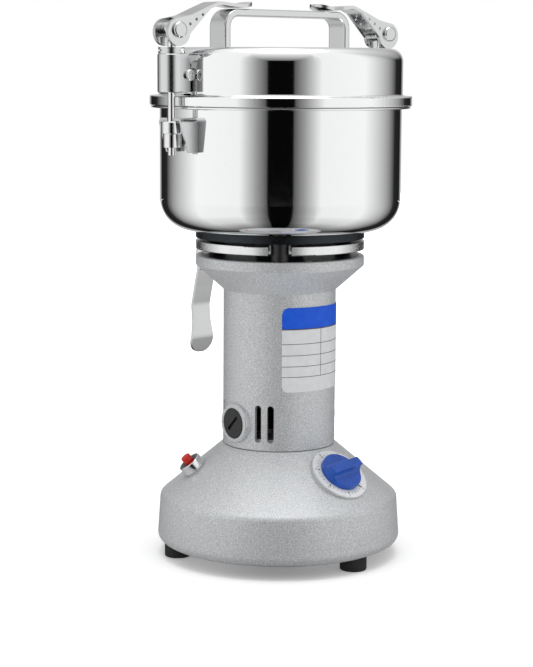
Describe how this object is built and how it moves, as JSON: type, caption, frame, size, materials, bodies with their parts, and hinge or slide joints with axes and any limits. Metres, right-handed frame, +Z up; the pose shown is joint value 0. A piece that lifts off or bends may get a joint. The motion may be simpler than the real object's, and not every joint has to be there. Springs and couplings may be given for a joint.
{
  "type": "electric dry grinder",
  "caption": "Electric dry grinder: cast base with timer knob and reset button, motor column, polished bowl and lid with strap handle, held by cam-lever latches.",
  "frame": {"origin": "on the floor, under the motor shaft, midway between the latches", "axes": "+Z up along the motor shaft, -Y towards the front with the timer dial and data plate, X through the two lid latches"},
  "size_m": [0.225, 0.195, 0.4145],
  "materials": {
    "cast_silver": "silver hammertone paint on a casting",
    "steel_mirror": "mirror-polished stainless steel",
    "steel_polished": "polished steel",
    "steel_plate": "plain sheet steel",
    "steel_zinc": "zinc-plated steel",
    "chrome_bright": "bright chrome on steel",
    "flange_dark": "dark grey paint on aluminium",
    "aluminium_plain": "plain cast aluminium",
    "rubber_black": "matt black rubber",
    "plastic_black": "black moulded plastic",
    "carbon_black": "pressed carbon",
    "brass_plain": "plain brass",
    "copper_wire": "enamelled copper",
    "laminations": "stacked steel sheets",
    "label_white": "printed film with a blue header",
    "dial_white": "white printed plastic",
    "knob_blue": "glossy blue plastic",
    "button_red": "glossy red plastic"
  },
  "bodies": {
    "root": {"base_housing": "cast_silver", "motor_column": "cast_silver", "rubber_feet": "rubber_black", "cord_gland": "plastic_black", "gland_nut": "plastic_black", "bottom_plate": "steel_plate", "foot_screws": "steel_zinc", "frame_screws": "steel_zinc", "small_screws": "steel_zinc", "post_bolts": "steel_zinc", "bowl_screws": "steel_zinc", "data_plate": "label_white", "brush_holders": "brass_plain", "carbon_brushes": "carbon_black", "brush_springs": "steel_zinc", "brush_caps": "plastic_black", "stator_core": "laminations", "field_coils": "copper_wire", "shaft_bearings": "steel_polished", "lower_bearing_bracket": "aluminium_plain", "upper_end_plate": "flange_dark", "air_ring": "chrome_bright", "standoff_posts": "plastic_black", "bowl_flange": "flange_dark", "bowl": "steel_mirror", "lid": "steel_mirror", "handle": "steel_mirror", "shaft_seal": "rubber_black", "lid_seal": "rubber_black", "latch_lugs": "chrome_bright", "latch_pivot_screws": "chrome_bright", "catch_brackets": "chrome_bright", "dial_plate": "dial_white", "timer_body": "plastic_black", "breaker_body": "plastic_black", "breaker_nut": "chrome_bright"},
    "rotor": {"motor_shaft": "steel_polished", "armature_core": "laminations", "armature_winding": "copper_wire", "commutator": "copper_wire", "cooling_fan": "plastic_black", "lower_blade": "steel_polished", "blade_spacer": "steel_polished", "upper_blade": "steel_polished", "blade_nut": "steel_polished"},
    "knob": {"timer_knob": "knob_blue", "timer_shaft": "steel_polished"},
    "button": {"reset_button": "button_red"},
    "rear_lever": {"rear_clamp_lever": "chrome_bright", "rear_clamp_pin": "chrome_bright"},
    "left_barrel": {"left_latch_barrel": "chrome_bright"},
    "left_rod": {"left_latch_rod": "chrome_bright", "left_latch_nut": "chrome_bright"},
    "left_lever": {"left_latch_lever": "chrome_bright", "left_latch_pin": "chrome_bright"},
    "right_barrel": {"right_latch_barrel": "chrome_bright"},
    "right_rod": {"right_latch_rod": "chrome_bright", "right_latch_nut": "chrome_bright"},
    "right_lever": {"right_latch_lever": "chrome_bright", "right_latch_pin": "chrome_bright"}
  },
  "joints": [
    {"name": "rotor_spin", "type": "hinge", "parent": "root", "child": "rotor", "pos_m": [0, 0, 0.2], "axis": [0, 0, 1], "continuous": true},
    {"name": "timer_turn", "type": "hinge", "parent": "root", "child": "knob", "pos_m": [0.00439, -0.06285, 0.06836], "axis": [-0.0449, 0.6418, -0.7655], "range_deg": [0, 300]},
    {"name": "reset_press", "type": "slide", "parent": "root", "child": "button", "axis": [0.5783, -0.282, -0.7655], "range_m": [0, 0.003], "stiffness_N_per_m": 400},
    {"name": "rear_lever_swing", "type": "hinge", "parent": "root", "child": "rear_lever", "pos_m": [-0.00527, 0.07532, 0.2241], "axis": [0.9976, 0.0698, 0], "range_deg": [0, 90]},
    {"name": "left_lever_open", "type": "hinge", "parent": "left_rod", "child": "left_lever", "pos_m": [-0.1025, 0, 0.3934], "axis": [0, -1, 0], "range_deg": [0, 170]},
    {"name": "left_barrel_swing", "type": "hinge", "parent": "root", "child": "left_barrel", "pos_m": [-0.0945, 0, 0.3619], "axis": [0, 1, 0], "range_deg": [0, 17]},
    {"name": "left_rod_drop", "type": "slide", "parent": "left_barrel", "child": "left_rod", "axis": [0, 0, -1], "range_m": [0, 0.0029]},
    {"name": "right_lever_open", "type": "hinge", "parent": "right_rod", "child": "right_lever", "pos_m": [0.1025, 0, 0.3934], "axis": [0, 1, 0], "range_deg": [0, 170]},
    {"name": "right_barrel_swing", "type": "hinge", "parent": "root", "child": "right_barrel", "pos_m": [0.0945, 0, 0.3619], "axis": [0, -1, 0], "range_deg": [0, 17]},
    {"name": "right_rod_drop", "type": "slide", "parent": "right_barrel", "child": "right_rod", "axis": [0, 0, -1], "range_m": [0, 0.0029]}
  ],
  "couplings": [
    {"joint": "left_barrel_swing", "follows": "left_lever_open", "ratio": 0.1},
    {"joint": "left_rod_drop", "follows": "left_lever_open", "m_per_rad": 0.0009774},
    {"joint": "right_barrel_swing", "follows": "right_lever_open", "ratio": 0.1},
    {"joint": "right_rod_drop", "follows": "right_lever_open", "m_per_rad": 0.0009774}
  ]
}
